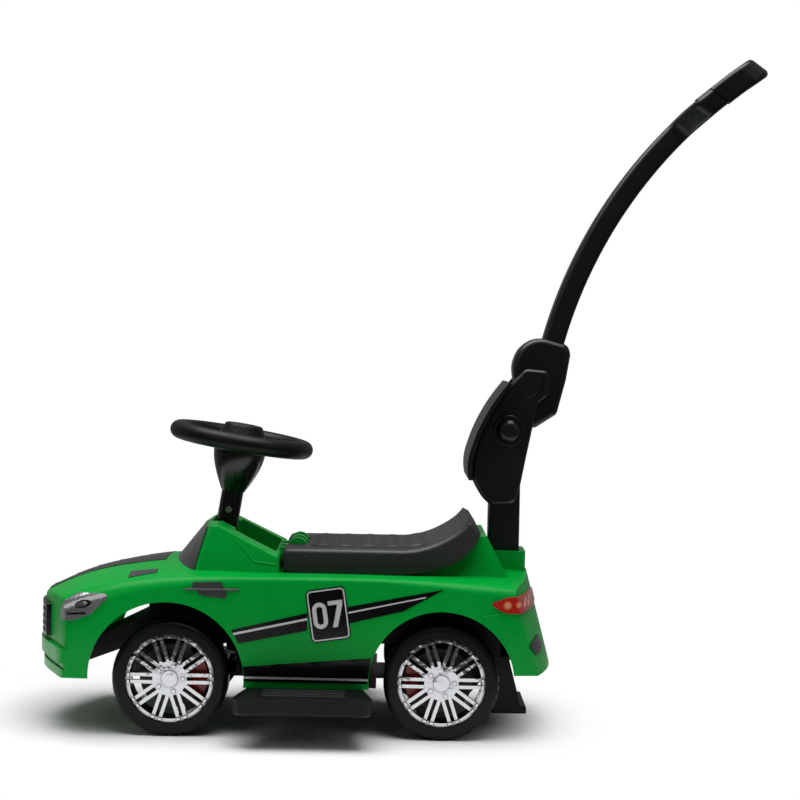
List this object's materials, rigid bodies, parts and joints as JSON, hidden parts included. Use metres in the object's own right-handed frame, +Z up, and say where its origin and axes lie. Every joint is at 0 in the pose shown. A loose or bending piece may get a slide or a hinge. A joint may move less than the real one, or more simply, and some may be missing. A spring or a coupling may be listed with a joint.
{
  "type": "push car with handle",
  "caption": "Child's ride-on push car in green and black with a steering wheel, a lidded storage seat, footrests and a curved tilting push handle.",
  "frame": {"origin": "on the floor midway between the axles, on the car's centre plane", "axes": "+X to the rear, the way the push handle leans; +Y to the car's right; +Z up"},
  "size_m": [0.9276, 0.41, 0.8681],
  "materials": {
    "green_plastic": "gloss moulded polypropylene",
    "black_plastic": "satin moulded plastic",
    "gloss_black": "gloss moulded plastic",
    "seat_black": "fine grained matte plastic",
    "tyre_black": "blow-moulded wheel plastic",
    "rim_chrome": "vacuum-metallised, chrome-plated plastic",
    "disc_grey": "dark grey plastic",
    "caliper_red": "gloss red plastic",
    "steel": "zinc-plated steel",
    "screen_grey": "dark grey panel",
    "lamp_clear": "silvered lamp panel",
    "lamp_red": "red lamp panel",
    "trim_silver": "silver painted plastic",
    "handle_black": "satin-gloss moulded plastic"
  },
  "bodies": {
    "chassis": {"body_shell": "green_plastic", "under_pan": "black_plastic", "storage_tub": "black_plastic", "windscreen_panel": "screen_grey", "grille": "gloss_black", "headlight_left": "lamp_clear", "headlight_right": "lamp_clear", "tail_light_left": "lamp_red", "tail_light_right": "lamp_red", "side_vents": "screen_grey", "bonnet_vents": "screen_grey", "rear_reflectors": "gloss_black", "seat_hinge_pin": "steel", "front_axle_beam": "black_plastic", "kingpins": "steel", "rear_calipers": "caliper_red", "rear_axle": "steel", "column_bush": "black_plastic", "footrest_left": "black_plastic", "footrest_right": "black_plastic", "rear_stop": "black_plastic", "handle_post": "handle_black", "hinge_housing_left": "handle_black", "hinge_housing_right": "handle_black", "handle_screws": "steel", "backrest_panel": "handle_black", "pivot_pin": "steel", "underside_screws": "steel"},
    "steering": {"steering_shaft": "steel", "steering_column": "gloss_black", "column_screw": "steel", "steering_bell": "gloss_black", "steering_wheel": "black_plastic", "spoke_trims": "trim_silver"},
    "horn": {"horn_pad": "black_plastic"},
    "seat": {"seat_lid": "seat_black"},
    "steer_left": {"knuckle_left": "black_plastic", "stub_axle_left": "steel", "front_caliper_left": "caliper_red"},
    "steer_right": {"knuckle_right": "black_plastic", "stub_axle_right": "steel", "front_caliper_right": "caliper_red"},
    "tie": {"tie_rod": "black_plastic"},
    "handle": {"handle_yoke": "handle_black", "push_bar": "handle_black", "grip": "handle_black"},
    "button_left": {"release_button_left": "handle_black"},
    "button_right": {"release_button_right": "handle_black"},
    "wheel_front_left": {"front_left_tyre": "tyre_black", "front_left_rim": "rim_chrome", "front_left_brake_disc": "disc_grey"},
    "wheel_front_right": {"front_right_tyre": "tyre_black", "front_right_rim": "rim_chrome", "front_right_brake_disc": "disc_grey"},
    "wheel_rear_left": {"rear_left_tyre": "tyre_black", "rear_left_rim": "rim_chrome", "rear_left_brake_disc": "disc_grey"},
    "wheel_rear_right": {"rear_right_tyre": "tyre_black", "rear_right_rim": "rim_chrome", "rear_right_brake_disc": "disc_grey"}
  },
  "joints": [
    {"name": "steering_turn", "type": "hinge", "parent": "chassis", "child": "steering", "pos_m": [-0.113, 0, 0.25], "axis": [0.1564, 0, 0.9877], "range_deg": [-22, 22]},
    {"name": "horn_press", "type": "slide", "parent": "steering", "child": "horn", "axis": [-0.1564, 0, -0.9877], "range_m": [0, 0.0025], "stiffness_N_per_m": 600, "springref_m": -0.003},
    {"name": "left_wheel_steer", "type": "hinge", "parent": "chassis", "child": "steer_left", "pos_m": [-0.1695, -0.072, 0.0725], "axis": [0, 0, 1], "range_deg": [-22, 22]},
    {"name": "right_wheel_steer", "type": "hinge", "parent": "chassis", "child": "steer_right", "pos_m": [-0.1695, 0.072, 0.0725], "axis": [0, 0, 1], "range_deg": [-22, 22]},
    {"name": "tie_rod_pivot", "type": "hinge", "parent": "steer_left", "child": "tie", "pos_m": [-0.1375, -0.072, 0.0718], "axis": [0, 0, 1], "range_deg": [-22, 22]},
    {"name": "seat_open", "type": "hinge", "parent": "chassis", "child": "seat", "pos_m": [-0.017, 0, 0.229], "axis": [0, -1, 0], "range_deg": [0, 68]},
    {"name": "handle_tilt", "type": "hinge", "parent": "chassis", "child": "handle", "pos_m": [0.253, 0, 0.385], "axis": [0, 1, 0], "range_deg": [0, 32]},
    {"name": "left_button_press", "type": "slide", "parent": "chassis", "child": "button_left", "axis": [0, 1, 0], "range_m": [0, 0.0045], "stiffness_N_per_m": 400, "springref_m": -0.002},
    {"name": "right_button_press", "type": "slide", "parent": "chassis", "child": "button_right", "axis": [0, -1, 0], "range_m": [0, 0.0045], "stiffness_N_per_m": 400, "springref_m": -0.002},
    {"name": "front_left_spin", "type": "hinge", "parent": "steer_left", "child": "wheel_front_left", "pos_m": [-0.1695, -0.112, 0.0725], "axis": [0, 1, 0], "continuous": true},
    {"name": "front_right_spin", "type": "hinge", "parent": "steer_right", "child": "wheel_front_right", "pos_m": [-0.1695, 0.112, 0.0725], "axis": [0, 1, 0], "continuous": true},
    {"name": "rear_left_spin", "type": "hinge", "parent": "chassis", "child": "wheel_rear_left", "pos_m": [0.1695, -0.112, 0.0725], "axis": [0, 1, 0], "continuous": true},
    {"name": "rear_right_spin", "type": "hinge", "parent": "chassis", "child": "wheel_rear_right", "pos_m": [0.1695, 0.112, 0.0725], "axis": [0, 1, 0], "continuous": true}
  ],
  "couplings": [
    {"joint": "left_wheel_steer", "follows": "steering_turn", "ratio": 1},
    {"joint": "right_wheel_steer", "follows": "steering_turn", "ratio": 1},
    {"joint": "tie_rod_pivot", "follows": "steering_turn", "ratio": -1}
  ]
}
